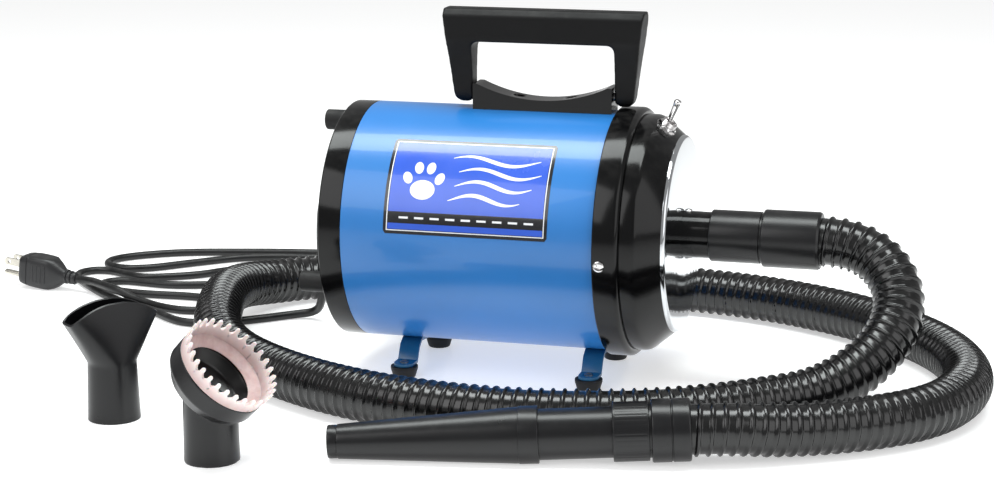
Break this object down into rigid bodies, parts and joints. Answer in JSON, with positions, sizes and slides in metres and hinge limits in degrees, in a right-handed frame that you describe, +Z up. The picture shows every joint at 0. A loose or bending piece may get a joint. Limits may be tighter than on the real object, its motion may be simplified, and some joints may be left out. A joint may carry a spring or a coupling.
{
  "type": "canister pet dryer",
  "caption": "Canister force dryer: drum blower on legs with folding handle, toggle switch, ribbed hose, blower nozzle, loose nozzles and a mains cord.",
  "frame": {"origin": "on the floor under the middle of the drum's painted shell", "axes": "+X along the drum to the outlet, +Y to the back, +Z up"},
  "size_m": [0.8704, 0.6533, 0.2793],
  "materials": {
    "aluminium_cast": "satin",
    "badge_print": "printed plate",
    "black_gloss": "high gloss",
    "black_rubber": "soft matt",
    "black_satin": "satin, fine texture",
    "brass_pins": "nickelled brass",
    "carbon": "pressed carbon",
    "chrome_metal": "polished",
    "copper_wire": "enamelled windings",
    "cord_jacket": "satin vinyl",
    "foam": "open-cell foam",
    "hose_plastic": "flexible, glossy ribbed",
    "leg_paint": "semi-gloss",
    "mirror_face": "polished",
    "shell_paint": "gloss",
    "soft_ring": "soft pale plastic",
    "steel": "zinc plated"
  },
  "bodies": {
    "drum": {"band_screws": "chrome_metal", "brush_holders": "brass_pins", "carbon_brushes": "carbon", "cord_gland": "black_rubber", "cord_hank": "cord_jacket", "cord_lead": "cord_jacket", "cord_tail": "cord_jacket", "diffuser_plate": "aluminium_cast", "face_plate": "mirror_face", "fan_housing": "aluminium_cast", "field_coils": "copper_wire", "field_core": "steel", "foot_screws": "steel", "front_band": "black_gloss", "front_dome": "black_gloss", "handle_pins": "steel", "handle_saddle": "black_gloss", "handle_screws": "steel", "hose": "hose_plastic", "hose_end_cuff": "black_satin", "hose_end_swivel": "black_satin", "hose_inlet_cuff": "black_satin", "hose_inlet_swivel": "black_satin", "intake_filter": "foam", "intake_grille": "black_satin", "lead_wires": "cord_jacket", "leg_strap_front": "leg_paint", "leg_strap_rear": "leg_paint", "motor_bearings": "steel", "motor_bracket": "aluminium_cast", "motor_bulkhead": "steel", "motor_frame": "aluminium_cast", "motor_mount_rings": "black_rubber", "outlet_screws": "chrome_metal", "outlet_tube": "black_gloss", "plug_body": "cord_jacket", "plug_prongs": "brass_pins", "rear_band": "black_satin", "rear_bumpers": "black_rubber", "rubber_feet": "black_rubber", "shell": "shell_paint", "shell_badge": "badge_print", "strap_screws": "steel", "switch_body": "black_satin", "switch_bushing": "chrome_metal", "switch_nut": "chrome_metal", "switch_washer": "chrome_metal", "wand_tube": "black_satin"},
    "handle": {"handle_grip": "black_satin"},
    "toggle": {"switch_lever": "chrome_metal"},
    "rotor": {"armature_shaft": "steel", "armature_core": "steel", "commutator": "copper_wire", "impeller_first": "aluminium_cast", "impeller_second": "aluminium_cast"},
    "blower_tip": {"blower_nozzle": "black_satin"},
    "flare_tip": {"flare_nozzle": "black_satin"},
    "brush_tip": {"brush_nozzle": "black_satin", "brush_ring": "soft_ring"}
  },
  "joints": [
    {"name": "handle_fold", "type": "hinge", "parent": "drum", "child": "handle", "pos_m": [0.0378, 0, 0.2136], "axis": [1, 0, 0], "range_deg": [-90, 90]},
    {"name": "toggle_throw", "type": "hinge", "parent": "drum", "child": "toggle", "pos_m": [0.13276, -0.01008, 0.19478], "axis": [0, 0.9925, 0.1219], "range_deg": [0, 32]},
    {"name": "rotor_spin", "type": "hinge", "parent": "drum", "child": "rotor", "pos_m": [0, 0, 0.1127], "axis": [1, 0, 0], "continuous": true},
    {"name": "blower_pull", "type": "slide", "parent": "drum", "child": "blower_tip", "axis": [-0.9727, -0.2281, -0.0436], "range_m": [0, 0.04]},
    {"name": "flare_lift", "type": "slide", "parent": "drum", "child": "flare_tip", "axis": [0, 0, 1], "range_m": [0, 0.06]},
    {"name": "brush_lift", "type": "slide", "parent": "drum", "child": "brush_tip", "axis": [0, 0, 1], "range_m": [0, 0.06]}
  ]
}
